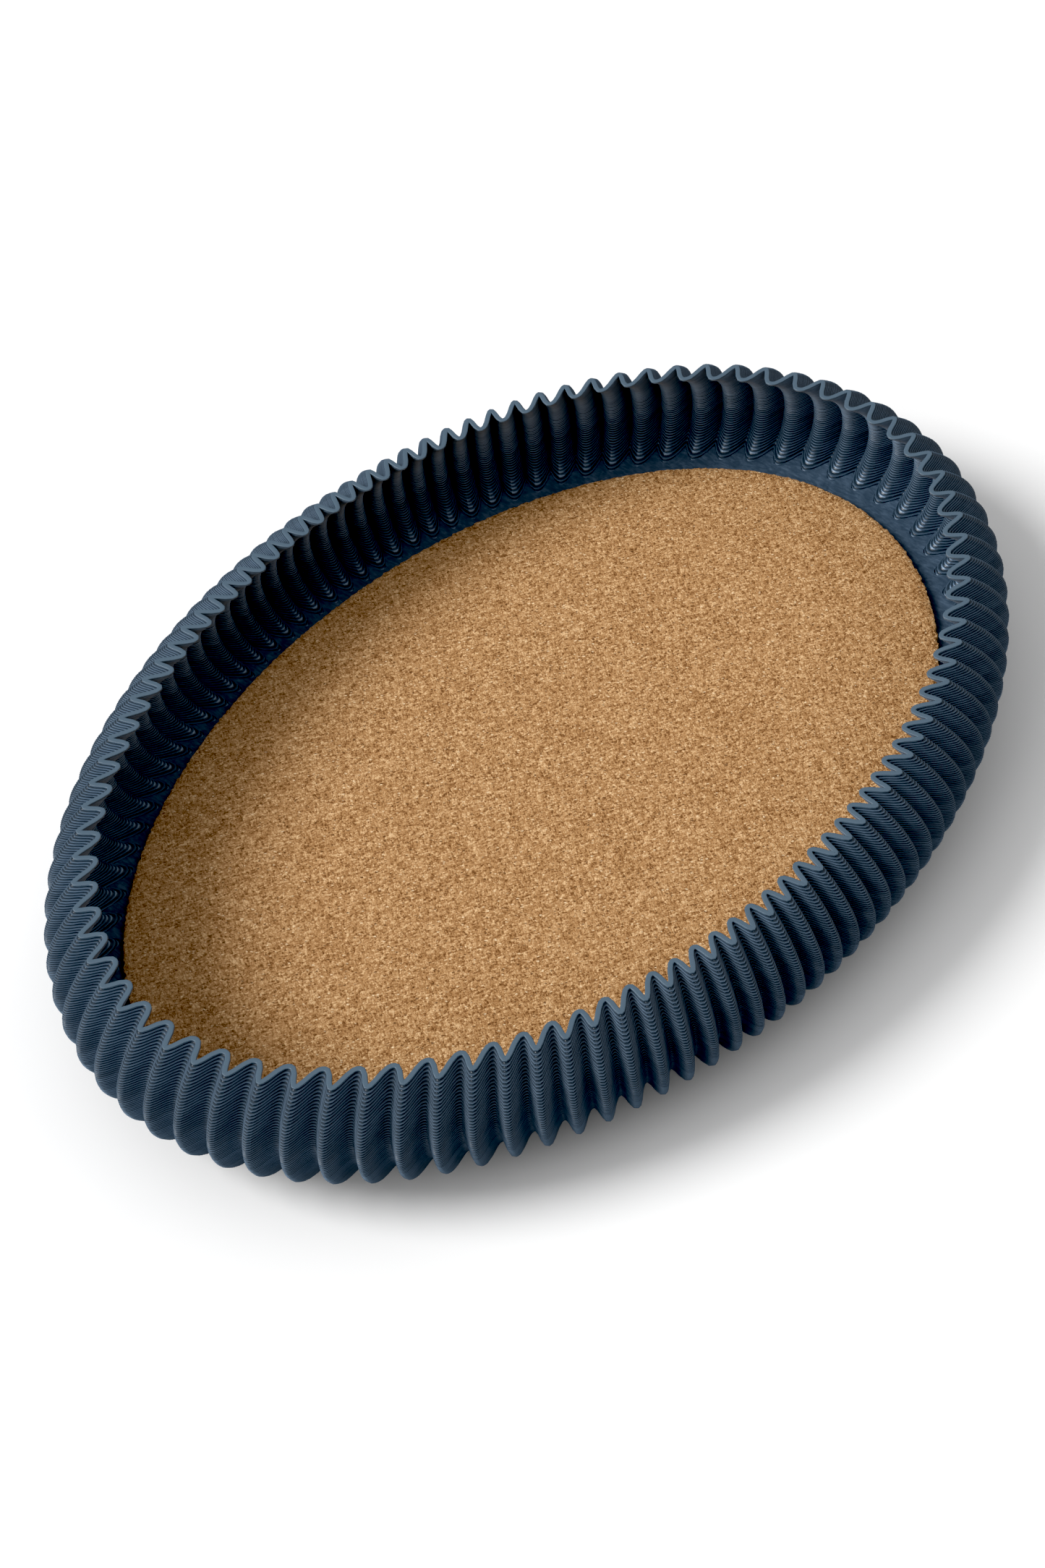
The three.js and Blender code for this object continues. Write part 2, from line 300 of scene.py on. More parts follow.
def inside_rows(first, last):
    """Section of one inner band of layers, which ends just under the floor plate's top."""
    last = min(last, LAYERS - round(FLOOR_THICKNESS / LAYER_HEIGHT) + 1)
    rows = layer_rows(1, last, -1) if first == 0 else layer_rows(first - 1, last, -1)[2:]
    return (rows + core_rows(max(first, 1), last, -CORE_GAP))[::-1]


def build_wall():
    """The wall as closed bodies that meet in grooves, an outer and an inner one for each band of layers."""
    pieces = []
    for number, band in enumerate(BANDS):
        first = LAYERS * number // len(BANDS)
        last = LAYERS * (number + 1) // len(BANDS)
        pieces.append(ring_piece("wall_outside_" + band, outside_rows(first, last)))
        pieces.append(ring_piece("wall_inside_" + band, inside_rows(first, last)))
    return pieces


# ---------- floor plate of the frame ----------


def build_floor_plate():
    """The flat floor, which ends inside the foot of the wall."""
    outline = wall_row(FOOT_SWELL, 0, FLOOR_TOP)
    shares = (0.5, 0.8, 0.9, 0.95)
    top = [outline * [s, s, 1] for s in shares] + [outline]
    foot = wall_row(FOOT_SWELL, 0, FRAME_BOTTOM)
    bottom = [foot] + [foot * [s, s, 1] for s in reversed(shares)]
    return disc_piece("floor_plate", [0, 0, FLOOR_TOP], top + bottom, [0, 0, FRAME_BOTTOM], 40)


# ---------- cork ----------

# The face lies CORK_SINK under the sheet's top, so that its bumps stay below it.
CORK_SINK = 0.06
CORK_EDGE_DROP = 0.25
CORK_EDGE_INSET = 0.45
CORK_ROWS = 43
CORK_CROWDING = 0.72


def build_cork():
    """A sheet with an uneven face, whose cut edge is ragged and slightly worn down."""
    half = (CORK_HIGH - CORK_LOW) / 2
    middle = (CORK_HIGH + CORK_LOW) / 2
    top_z, bottom_z = CORK_HIGH[2], CORK_LOW[2]
    angle = np.arange(CORK_COLUMNS) * 2 * math.pi / CORK_COLUMNS

    def ring(share, inset, z, roughness):
        x = middle[0] + (half[0] * share - inset) * np.cos(angle)
        y = middle[1] + (half[1] * share - inset) * np.sin(angle)
        ragged = 0.16 * smooth_noise(x, y, 2.0, 3) + 0.08 * smooth_noise(x, y, 0.9, 4) - 0.12
        x = x + roughness * ragged * np.cos(angle)
        y = y + roughness * ragged * np.sin(angle)
        bumps = 0.035 * smooth_noise(x, y, 3.0, 1) + 0.02 * smooth_noise(x, y, 11.0, 2)
        return np.column_stack([x, y, z + np.minimum(bumps, CORK_SINK)])

    spread = np.linspace(0, 1, CORK_ROWS + 1)[1:] ** CORK_CROWDING
    rows = [ring(s, CORK_EDGE_INSET * s**8, top_z - CORK_SINK, s**30) for s in spread]
    rows.append(ring(1, 0.1, top_z - CORK_EDGE_DROP, 1))
    rows.append(ring(1, 0.02, (top_z + bottom_z) / 2, 1))
    lower = ring(1, 0.1, bottom_z, 1)
    lower[:, 2] = bottom_z
    rows.append(lower)
    centre = [middle[0], middle[1], top_z - CORK_SINK]
    return disc_piece("cork_face", centre, rows, [middle[0], middle[1], bottom_z], 50)


# ---------- back of the board ----------

PANEL_EDGE = 0.35


def build_panel():
    """Plywood oval with broken edges and a faintly uneven sawn side."""
    half = (PANEL_HIGH - PANEL_LOW) / 2
    angle = np.arange(PANEL_COLUMNS) * 2 * math.pi / PANEL_COLUMNS

    def ring(share, inset, z):
        x = (half[0] * share - inset) * np.cos(angle)
        y = (half[1] * share - inset) * np.sin(angle)
        sawn = 1 - 0.0006 * (1 + smooth_noise(x, y, 14.0, 21))
        return np.column_stack([x * sawn, y * sawn, np.full(len(x), z)])

    low, high = PANEL_LOW[2], PANEL_HIGH[2]
    turns = arc(0, 90, 4)
    top = [ring(1, PANEL_EDGE * (1 - math.sin(t)), high - PANEL_EDGE * (1 - math.cos(t))) for t in turns]
    bottom = [ring(1, PANEL_EDGE * (1 - math.sin(t)), low + PANEL_EDGE * (1 - math.cos(t))) for t in turns]
    shares = (0.4, 0.8, 0.97)
    rows = [ring(s, 0, high) for s in shares] + top
    rows += bottom[::-1] + [ring(s, 0, low) for s in reversed(shares)]
    return disc_piece("plywood_panel", [0, 0, high], rows, [0, 0, low], 50)


def build_glue(name, node):
    """A spread film whose edge wanders inside the piece that it holds."""
    low, high = node_box(node)
    middle, half = (low + high) / 2, (high - low) / 2
    angle = np.arange(PANEL_COLUMNS) * 2 * math.pi / PANEL_COLUMNS

    def ring(share, inset, z):
        x, y = half[0] * np.cos(angle), half[1] * np.sin(angle)
        wander = 0.6 * smooth_noise(x, y, 16.0, 31) + 0.35 * smooth_noise(x, y, 5.0, 32)
        reach = share - (1.5 + np.clip(wander, -1.5, 1.5) + inset) / np.hypot(x, y)
        return np.column_stack([middle[0] + x * reach, middle[1] + y * reach, np.full(len(x), z)])

    rows = [ring(0.6, 0, high[2]), ring(1, 0.1, high[2]), ring(1, 0, middle[2]), ring(1, 0.1, low[2])]
    rows.append(ring(0.6, 0, low[2]))
    return disc_piece(name, [*middle[:2], high[2]], rows, [*middle[:2], low[2]], 40)


BUMPER_CORNER = 1.1
BUMPER_DIMPLE = (2.3, 0.3)


def build_bumper(name, node):
    """A moulded disc with a rounded foot, a dimple in it and a fine parting line."""
    low, high = node_box(node)
    radius = (high[0] - low[0]) / 2
    bottom, top = low[2], high[2]
    profile = [(radius - 0.1, top), (radius, top - 0.1), (radius, top - 0.7)]
    profile += [(radius + 0.05, top - 0.8), (radius, top - 0.9)]
    for turn in arc(0, 90, 8):
        inset = BUMPER_CORNER * (1 - math.cos(turn))
        profile.append((radius - inset, bottom + BUMPER_CORNER * (1 - math.sin(turn))))
    dimple, depth = BUMPER_DIMPLE
    profile += [(dimple + 0.2, bottom), (dimple, bottom + 0.06), (dimple - 0.5, bottom + depth)]
    middle = (low + high)[:2] / 2
    centre = [*middle, bottom + depth]
    return disc_piece(name, [*middle, top], round_rows(profile, middle), centre, 40)


RING_CORNER = 2.5

# Seam of a ring: its depth, and half its width at the surface and at its bottom.
SEAM_DEPTH = 0.12
SEAM_EDGE = 0.1
SEAM_BOTTOM = 0.03


def ring_path(half_width):
    """The middle of the wire, from the middle of its straight bar round the bow."""
    straight = half_width - RING_CORNER
    pieces = [np.column_stack([np.linspace(SEAM_EDGE, straight, 12), np.zeros(12)])]
    for centre, radius, start, end, steps in (
        ((straight, RING_CORNER), RING_CORNER, -90, 0, 14),
        ((0, RING_CORNER), half_width, 0, 180, 72),
        ((-straight, RING_CORNER), RING_CORNER, 180, 270, 14),
    ):
        turn = arc(start, end, steps)[1:]
        bend = np.column_stack([np.cos(turn), np.sin(turn)])
        pieces.append(np.array(centre) + radius * bend)
    pieces.append(np.column_stack([np.linspace(-straight, -SEAM_EDGE, 12)[1:], np.zeros(11)]))
    return np.vstack(pieces + [[[-SEAM_BOTTOM, 0], [SEAM_BOTTOM, 0]]])


def build_ring(name, node, body):
    """Bent wire whose two ends meet in a seam, midway along the straight bar."""
    low, high = node_box(node)
    wire = (high[2] - low[2]) / 2
    middle = np.array([(low[0] + high[0]) / 2, low[1] + wire])
    path = ring_path((high[0] - low[0]) / 2 - wire)
    ahead = np.roll(path, -1, 0) - np.roll(path, 1, 0)
    ahead /= np.linalg.norm(ahead, axis=1, keepdims=True)
    outward = np.column_stack([ahead[:, 1], -ahead[:, 0]])
    girth = np.full((len(path), 1), wire)
    girth[-2:] -= SEAM_DEPTH
    rows = []
    for turn in arc(0, 345, 24):
        flat = middle + path + outward * girth * math.sin(turn)
        height = low[2] + wire + girth[:, 0] * math.cos(turn)
        rows.append(np.column_stack([flat, height]))
    return ring_piece(name, rows, body, 40)


STRIP_THICKNESS = 0.8
STRIP_EDGE = 0.12
STRIP_SLIT = 0.02


def strap_outline(length, bore, loop):
    """Side view of a strip folded in two round a bar at the origin, running back along -Y.

    Its inside runs straight from under the bar up to the slit between the two layers.
    """
    fold = loop - STRIP_THICKNESS
    under = fold - STRIP_THICKNESS
    back = np.linspace(-length, -loop, 12)
    there = [(y, under) for y in back]
    join = 180 - math.degrees(math.asin(under / loop))
    there += [(loop * math.cos(t), loop * math.sin(t)) for t in arc(join, 450, 40)]
    there += [(y, loop) for y in back[::-1]]
    slit = math.degrees(math.asin((fold - STRIP_SLIT) / bore))
    home = [(y, fold + STRIP_SLIT) for y in back]
    home += [(bore * math.cos(t), bore * math.sin(t)) for t in arc(90, slit - 180, 40)]
    home += [(y, fold - STRIP_SLIT) for y in back[::-1]]
    return np.array(there + home)


def build_strap(name, node):
    """A folded steel strip: two layers with a slit between them, and broken edges."""
    low, high = node_box(node)
    loop = (high[2] - low[2]) / 2
    axis_y, axis_z = high[1] - loop, high[2] - loop
    outline = strap_outline(axis_y - low[1], loop - STRIP_THICKNESS, loop)
    ahead = np.roll(outline, -1, 0) - np.roll(outline, 1, 0)
    ahead /= np.linalg.norm(ahead, axis=1, keepdims=True)
    inward = np.column_stack([-ahead[:, 1], ahead[:, 0]])
    rows = []
    for edge, side in ((high[0], -1), (low[0], 1)):
        turns = arc(0, 90, 4)
        if side > 0:
            turns = turns[::-1]
        for turn in turns:
            flat = outline + inward * STRIP_EDGE * (1 - math.sin(turn))
            x = edge + side * STRIP_EDGE * (1 - math.cos(turn))
            rows.append(np.column_stack([np.full(len(flat), x), axis_y + flat[:, 0], axis_z + flat[:, 1]]))
    return strip_piece(name, rows, 35)


# Screw: length of its point, share of the head's radius that is flat, and of its height that is upright.
SCREW_POINT = 1
HEAD_FLAT = 0.55
HEAD_SIDE = 0.35

# Half length, half width and depth of the cross recess, and the run of its slopes.
CROSS_LENGTH = 1.25
CROSS_WIDTH = 0.28
CROSS_DEPTH = 0.5
CROSS_SIDE_SLOPE = 0.08
CROSS_END_SLOPE = 0.35


def build_screw(name, node):
    """A pan head with a cross recess, over a plain shank."""
    low, high = node_box(node)
    middle = (low + high)[:2] / 2
    head = (high[0] - low[0]) / 2
    shank = head / 2
    under = PANEL_LOW[2] - 2 * STRIP_THICKNESS
    profile = [(shank, high[2] - SCREW_POINT), (shank, under), (head - 0.08, under), (head, under - 0.08)]
    tall = under - low[2]
    inner = head * HEAD_FLAT
    for turn in arc(0, 90, 12):
        radius = inner + (head - inner) * math.cos(turn)
        profile.append((radius, under - tall * (HEAD_SIDE + (1 - HEAD_SIDE) * math.sin(turn))))
    profile += [(inner * share, low[2]) for share in np.linspace(1, 0.06, 16)[1:]]
    rows = round_rows(profile, middle, 120)
    face = rows[4:]
    x, y = abs(face[..., 0] - middle[0]), abs(face[..., 1] - middle[1])
    long, short = np.maximum(x, y), np.minimum(x, y)
    half_width = CROSS_WIDTH * (1.15 - 0.5 * long / CROSS_LENGTH)
    wall = np.clip((half_width - short) / CROSS_SIDE_SLOPE, 0, 1)
    stop = np.clip((CROSS_LENGTH - long) / CROSS_END_SLOPE, 0, 1)
    face[..., 2] += CROSS_DEPTH * wall * stop
    return disc_piece(name, [*middle, high[2]], rows, [*middle, low[2] + CROSS_DEPTH], 35)


# ---------- materials ----------


class Graph:
    """A small helper round one material's nodes."""

    def __init__(self, name):
        self.material = bpy.data.materials.new(name)
        self.material.use_nodes = True
        self.tree = self.material.node_tree
        self.shader = self.tree.nodes["Principled BSDF"]

    def add(self, kind, values=None, **settings):
        node = self.tree.nodes.new("ShaderNode" + kind)
        for key, value in settings.items():
            setattr(node, key, value)
        for key, value in (values or {}).items():
            if isinstance(value, bpy.types.NodeSocket):
                self.tree.links.new(value, node.inputs[key])
            else:
                node.inputs[key].default_value = value
        return node

    def math(self, operation, a, b=0.0):
        return self.add("Math", {0: a, 1: b}, operation=operation).outputs[0]

    def place(self, scale):
        """Object coordinates in millimetres, stretched by scale."""
        where = self.add("TexCoord").outputs["Object"]
        factor = [s / MM for s in scale]
        return self.add("VectorMath", {0: where, 1: factor}, operation="MULTIPLY").outputs[0]

    def noise(self, where, scale, detail=3.0, roughness=0.5, distortion=0.0):
        values = {"Vector": where, "Scale": scale, "Detail": detail}
        values.update({"Roughness": roughness, "Distortion": distortion})
        return self.add("TexNoise", values).outputs["Fac"]

    def spread(self, value, low, high, to_low, to_high, smooth=False):
        values = {"Value": value, "From Min": low, "From Max": high, "To Min": to_low, "To Max": to_high}
        kind = "SMOOTHSTEP" if smooth else "LINEAR"
        return self.add("MapRange", values, interpolation_type=kind).outputs["Result"]

    def blend(self, factor, a, b):
        node = self.add("Mix", data_type="RGBA")
        for index, value in ((0, factor), (6, a), (7, b)):
            if isinstance(value, bpy.types.NodeSocket):
                self.tree.links.new(value, node.inputs[index])
            else:
                node.inputs[index].default_value = value
        return node.outputs[2]

    def ramp(self, value, stops):
        node = self.add("ValToRGB", {0: value})
        elements = node.color_ramp.elements
        while len(elements) < len(stops):
            elements.new(0.5)
        for element, (position, colour) in zip(elements, stops):
            element.position = position
            element.color = (*colour, 1)
        return node.outputs["Color"]

    def bump(self, height, strength, distance_mm, normal=None):
        values = {"Height": height, "Strength": strength, "Distance": distance_mm * MM}
        if normal is not None:
            values["Normal"] = normal
        return self.add("Bump", values).outputs["Normal"]

    def finish(self, **inputs):
        for key, value in inputs.items():
            socket = self.shader.inputs[key.replace("_", " ")]
            if isinstance(value, bpy.types.NodeSocket):
                self.tree.links.new(value, socket)
            else:
                socket.default_value = value
        return self.material


BLUE = (0.19, 0.276, 0.385, 1)
BLUE_PALE = (0.215, 0.31, 0.43, 1)
BLUE_DEEP = (0.028, 0.046, 0.07, 1)
# Painted shade: the colour put into the grooves between print layers.
GROOVE_SHADE_BLUE = (0.018, 0.031, 0.046, 1)
# Painted shade: the top bead's colour, darker than the wall's, toning down the light on its flat top.
RIM_SHADE_BLUE = (0.08, 0.122, 0.165, 1)
# Painted shade: the floor plate's base colour, darker than the wall's, standing in for the shade down
# between the walls.
FLOOR_SHADE_BLUE = (0.05, 0.078, 0.115, 1)


def printed_plastic():
    """Satin plastic in print layers: painted shade makes it darkest in the grooves, it is clouded in tone,
    and painted shade makes it darker on the top bead.
    """
    g = Graph("printed_plastic")
    where = g.place((1, 1, 1))
    height = g.add("SeparateXYZ", {0: where}).outputs["Z"]
    layer = g.math("DIVIDE", g.math("SUBTRACT", height, FRAME_BOTTOM), LAYER_HEIGHT)
    edge = g.math("PINGPONG", layer, 0.5)
    ridge = g.spread(edge, 0.08, 0.34, 0.0, 1.0, smooth=True)
    along = g.noise(g.place((0.5, 0.5, 1.7)), 0.35, detail=4)
    cloud = g.noise(where, 0.03, detail=2)
    tone = g.blend(g.spread(cloud, 0.35, 0.65, 0, 1), BLUE, BLUE_PALE)
    tone = g.blend(g.spread(along, 0.3, 0.75, 0.0, 0.35), tone, BLUE_DEEP)
    # Painted shade in the grooves between print layers.
    colour = g.blend(ridge, GROOVE_SHADE_BLUE, tone)
    # Painted shade on the top bead, which fades in over its top layer.
    top_bead_shade = g.spread(height, RIM_Z - LAYER_HEIGHT, RIM_Z - BEAD_CORNER, 0, 1, smooth=True)
    colour = g.blend(top_bead_shade, colour, RIM_SHADE_BLUE)
    rough = g.spread(g.noise(where, 0.8), 0.3, 0.7, 0.33, 0.44)
    grain = g.noise(g.place((2.2, 2.2, 6.0)), 1.0, detail=3)
    normal = g.bump(grain, 0.25, 0.05)
    normal = g.bump(ridge, 0.35, 0.06, normal)
    return g.finish(Base_Color=colour, Roughness=rough, Normal=normal, IOR=1.46)


def floor_plastic():
    """The floor between the folds and the cork: flat, scuffed and duller than the wall, its base colour
    darkened as painted shade for the light that the walls keep off it.
    """
    g = Graph("floor_plastic")
    where = g.place((1, 1, 1))
    swirl = g.noise(where, 0.16, detail=2, distortion=2.5)
    scratch = g.noise(g.place((1.5, 0.4, 1)), 0.9, detail=5, roughness=0.65, distortion=0.8)
    # Painted shade in the base colour; the scratches lighten it towards the wall's blue.
    tone = g.blend(g.spread(scratch, 0.42, 0.7, 0, 0.35), FLOOR_SHADE_BLUE, BLUE)
    colour = g.blend(g.spread(swirl, 0.4, 0.62, 0, 0.4), tone, BLUE_DEEP)
    rough = g.spread(scratch, 0.3, 0.7, 0.4, 0.62)
    normal = g.bump(scratch, 0.45, 0.06)
    return g.finish(Base_Color=colour, Roughness=rough, Normal=normal, IOR=1.46)


CORK_TONES = (
    (0.0, (0.16, 0.064, 0.018)),
    (0.25, (0.325, 0.16, 0.06)),
    (0.5, (0.432, 0.234, 0.098)),
    (0.75, (0.525, 0.303, 0.14)),
    (1.0, (0.74, 0.495, 0.27)),
)


def granules(g, where, size, turn, stretch):
    """One layer of long granules: a random value for each, and how far a point is from its middle."""
    turned = g.add("VectorRotate", {"Vector": where, "Angle": turn}, rotation_type="Z_AXIS").outputs[0]
    shaped = g.add("VectorMath", {0: turned, 1: (1 / stretch, 1, 1)}, operation="MULTIPLY").outputs[0]
    cell = g.add("TexVoronoi", {"Vector": shaped, "Scale": 1 / size, "Randomness": 1.0})
    value = g.add("SeparateColor", {0: cell.outputs["Color"]}).outputs[0]
    return value, cell.outputs["Distance"]


def cork_material():
    """Pressed granules in three crossing layers, with dark specks and pale flakes among them."""
    g = Graph("pressed_cork")
    plain = g.place((1, 1, 1))
    drift = g.add("TexNoise", {"Vector": plain, "Scale": 1.5, "Detail": 2.0}).outputs["Color"]
    push = g.add("VectorMath", {0: drift, 3: 0.5}, operation="SCALE").outputs[0]
    where = g.add("VectorMath", {0: plain, 1: push}).outputs[0]
    first, first_edge = granules(g, where, 0.36, 0.5, 2.4)
    second, second_edge = granules(g, where, 0.32, 2.1, 2.4)
    third, _ = granules(g, where, 0.22, 1.2, 1.8)
    mix = g.math("ADD", g.math("MULTIPLY", first, 0.4), g.math("MULTIPLY", second, 0.36))
    mix = g.math("ADD", mix, g.math("MULTIPLY", third, 0.24))
    fine = g.noise(plain, 3.2, detail=3, roughness=0.6)
    mix = g.math("ADD", mix, g.spread(fine, 0.25, 0.75, -0.14, 0.14))
    mix = g.math("ADD", mix, g.spread(g.noise(plain, 0.09, detail=3), 0.3, 0.7, -0.02, 0.02))
    colour = g.ramp(g.spread(mix, 0.17, 0.83, 0, 1), CORK_TONES)
    specks, speck_edge = granules(g, where, 0.62, 0.9, 1.8)
    dark = g.math("MULTIPLY", g.spread(specks, 0.86, 0.9, 0, 1), g.spread(speck_edge, 0.22, 0.36, 1, 0))
    colour = g.blend(g.math("MULTIPLY", dark, 0.75), colour, (0.07, 0.026, 0.008, 1))
    pale = g.math("MULTIPLY", g.spread(specks, 0.1, 0.06, 0, 1), g.spread(speck_edge, 0.2, 0.36, 1, 0))
    colour = g.blend(g.math("MULTIPLY", pale, 0.85), colour, (0.86, 0.66, 0.42, 1))
    relief = g.math("ADD", g.math("MULTIPLY", first_edge, -0.6), g.math("MULTIPLY", second_edge, -0.5))
    relief = g.math("ADD", relief, g.math("MULTIPLY", fine, 0.7))
    normal = g.bump(relief, 0.75, 0.25)
    rough = g.spread(third, 0, 1, 0.78, 0.95)
    return g.finish(Base_Color=colour, Roughness=rough, Normal=normal, IOR=1.4)


def glue_material():
    """Smeared and dried contact glue."""
    g = Graph("dried_glue")
    where = g.place((1, 1, 1))
    smear = g.noise(where, 0.4, detail=4)
    colour = g.ramp(smear, ((0.3, (0.5, 0.4, 0.22)), (0.7, (0.74, 0.66, 0.44))))
    normal = g.bump(smear, 0.5, 0.1)
    return g.finish(Base_Color=colour, Roughness=g.spread(smear, 0.3, 0.7, 0.25, 0.5), Normal=normal)


PLY_THICKNESS = (PANEL_HIGH[2] - PANEL_LOW[2]) / 3


def plywood_material():
    """Long grain on the face, and pale and dark bands round the sawn edge."""
    g = Graph("plywood")
    where = g.place((1, 1, 1))
    grain_place = g.place((0.05, 1.1, 1))
    grain = g.noise(grain_place, 1.0, detail=5, roughness=0.65, distortion=0.6)
    rings = g.noise(g.place((0.012, 0.16, 0.1)), 1.0, detail=2, distortion=1.2)
    face = g.ramp(grain, ((0.25, (0.36, 0.2, 0.09)), (0.5, (0.55, 0.36, 0.18)), (0.8, (0.68, 0.48, 0.27))))
    face = g.blend(g.spread(rings, 0.4, 0.6, 0, 0.35), face, (0.42, 0.25, 0.11, 1))
    height = g.add("SeparateXYZ", {0: where}).outputs["Z"]
    ply = g.math("PINGPONG", g.math("DIVIDE", g.math("SUBTRACT", height, PANEL_LOW[2]), PLY_THICKNESS), 1)
    across = g.spread(ply, 0.45, 0.55, 0, 1)
    colour = g.blend(across, face, (0.3, 0.165, 0.07, 1))
    normal = g.bump(grain, 0.35, 0.12)
    return g.finish(Base_Color=colour, Roughness=g.spread(grain, 0.2, 0.8, 0.6, 0.8), Normal=normal)


def zinc_material():
    """Zinc plating in faint crystal patches, with fine scratches."""
    g = Graph("zinc_steel")
    where = g.place((1, 1, 1))
    patches = g.add("TexVoronoi", {"Vector": where, "Scale": 1.6}).outputs["Color"]
    value = g.add("SeparateColor", {0: patches}).outputs[0]
    scratch = g.noise(g.place((6, 0.5, 0.5)), 1.0, detail=4, roughness=0.6)
    colour = g.ramp(value, ((0.0, (0.5, 0.52, 0.55)), (1.0, (0.68, 0.69, 0.71))))
    rough = g.math("ADD", g.spread(value, 0, 1, 0.24, 0.4), g.spread(scratch, 0.3, 0.7, -0.04, 0.08))
    normal = g.bump(scratch, 0.2, 0.03)
    return g.finish(Base_Color=colour, Roughness=rough, Metallic=1.0, Normal=normal)


def rubber_material():
    """Matte black rubber with some dust on it."""
    g = Graph("soft_rubber")
    where = g.place((1, 1, 1))
    dust = g.noise(where, 1.3, detail=5, roughness=0.7)
    colour = g.ramp(dust, ((0.35, (0.018, 0.018, 0.019)), (0.75, (0.06, 0.058, 0.055))))
    normal = g.bump(g.noise(where, 3.5, detail=3), 0.35, 0.05)
    return g.finish(Base_Color=colour, Roughness=g.spread(dust, 0.3, 0.7, 0.62, 0.82), Normal=normal)


FLOOR_BOUNCE = 0.13


def studio_floor_material():
    """A pale floor that throws little light back up, as if it lay on a dark table."""
    g = Graph("studio_floor")
    shade = g.noise(g.place((1, 1, 1)), 0.01, detail=2)
    colour = g.ramp(shade, ((0.3, (0.9, 0.9, 0.9)), (0.7, (0.93, 0.93, 0.93))))
    seen = g.add("LightPath").outputs["Is Camera Ray"]
    colour = g.blend(seen, (FLOOR_BOUNCE, FLOOR_BOUNCE, FLOOR_BOUNCE, 1), colour)
    return g.finish(Base_Color=colour, Roughness=0.9)


def dress(piece, material):
    piece.data.materials.clear()
    piece.data.materials.append(material)


# ---------- put it together ----------

def stand_for(piece, node, material):
    """Show a piece instead of a CAD node."""
    dress(piece, material)
    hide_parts(node)


plastic = printed_plastic()
for piece in build_wall():
    stand_for(piece, "pleated_frame", plastic)
stand_for(build_floor_plate(), "pleated_frame", floor_plastic())
stand_for(build_cork(), "cork_sheet", cork_material())
stand_for(build_panel(), "backing_panel", plywood_material())

glue = glue_material()
stand_for(build_glue("cork_glue_film", "cork_glue"), "cork_glue", glue)
stand_for(build_glue("panel_glue_film", "panel_glue"), "panel_glue", glue)

zinc = zinc_material()
rubber = rubber_material()
for side in ("left", "right"):
    ring = "hanger_ring_" + side
    strap = "hanger_strap_" + side
    stand_for(build_ring("d_ring_" + side, ring, "ring_" + side), ring, zinc)
    stand_for(build_strap("folded_strap_" + side, strap), strap, zinc)
    for level in ("upper", "lower"):
        screw = f"screw_{side}_{level}"
        bumper = f"bumper_{level}_{side}"
        stand_for(build_screw("pan_" + screw, screw), screw, zinc)
        stand_for(build_bumper("soft_" + bumper, bumper), bumper, rubber)

# ---------- floor, lights and camera ----------


FLOOR_HALF_SIZE = 6.0


def add_floor():
    size = FLOOR_HALF_SIZE
    low = CAD_BOX[0][2]
    corners = [(-size, -size, low), (size, -size, low), (size, size, low), (-size, size, low)]
    mesh = bpy.data.meshes.new("studio_floor")
    mesh.from_pydata(corners, [], [(0, 1, 2, 3)])
    floor = bpy.data.objects.new("studio_floor", mesh)
    bpy.context.scene.collection.objects.link(floor)
    dress(floor, studio_floor_material())


# Camera: where it stands as seen from its target, its tilt, its distance from the target and the
# target's place on the rim's plane, both in millimetres.
CAMERA_AZIMUTH = math.radians(-139.42)
CAMERA_ELEVATION = math.radians(48.545)
CAMERA_ROLL = math.radians(-3.426)
CAMERA_DISTANCE = 694.8
CAMERA_TARGET = (27.45, -54.62)
FOCAL_LENGTH_PER_HEIGHT = 1.9297
SENSOR = 36.0

# Lens shift for the off-centre crop, and how far in metres the camera may be from its stand to keep it.
LENS_SHIFT = (-0.1738, -0.0399)
STAND_REACH = 0.02


def camera_axes():
    """Right, up and back directions of the camera, and the way from its target to it."""
    back = Vector(
        (
            math.cos(CAMERA_ELEVATION) * math.cos(CAMERA_AZIMUTH),
            math.cos(CAMERA_ELEVATION) * math.sin(CAMERA_AZIMUTH),
            math.sin(CAMERA_ELEVATION),
        )
    )
    level = (-back).cross(Vector((0, 0, 1))).normalized()
    upright = level.cross(-back)
    right = math.cos(CAMERA_ROLL) * level + math.sin(CAMERA_ROLL) * upright
    up = math.cos(CAMERA_ROLL) * upright - math.sin(CAMERA_ROLL) * level
    return right, up, back


def shift_lens(camera, stand, setting, amount):
    """Shift the lens only while the camera is at its stand; moved elsewhere, it looks straight ahead."""
    curve = camera.data.driver_add(setting)
    curve.modifiers.remove(curve.modifiers[0])
    curve.extrapolation = "CONSTANT"
    curve.driver.type = "SUM"
    distance = curve.driver.variables.new()
    distance.type = "LOC_DIFF"
    distance.targets[0].id = camera
    distance.targets[1].id = stand
    for metres, value in ((0, amount), (STAND_REACH, 0)):
        curve.keyframe_points.insert(metres, value).interpolation = "CONSTANT"


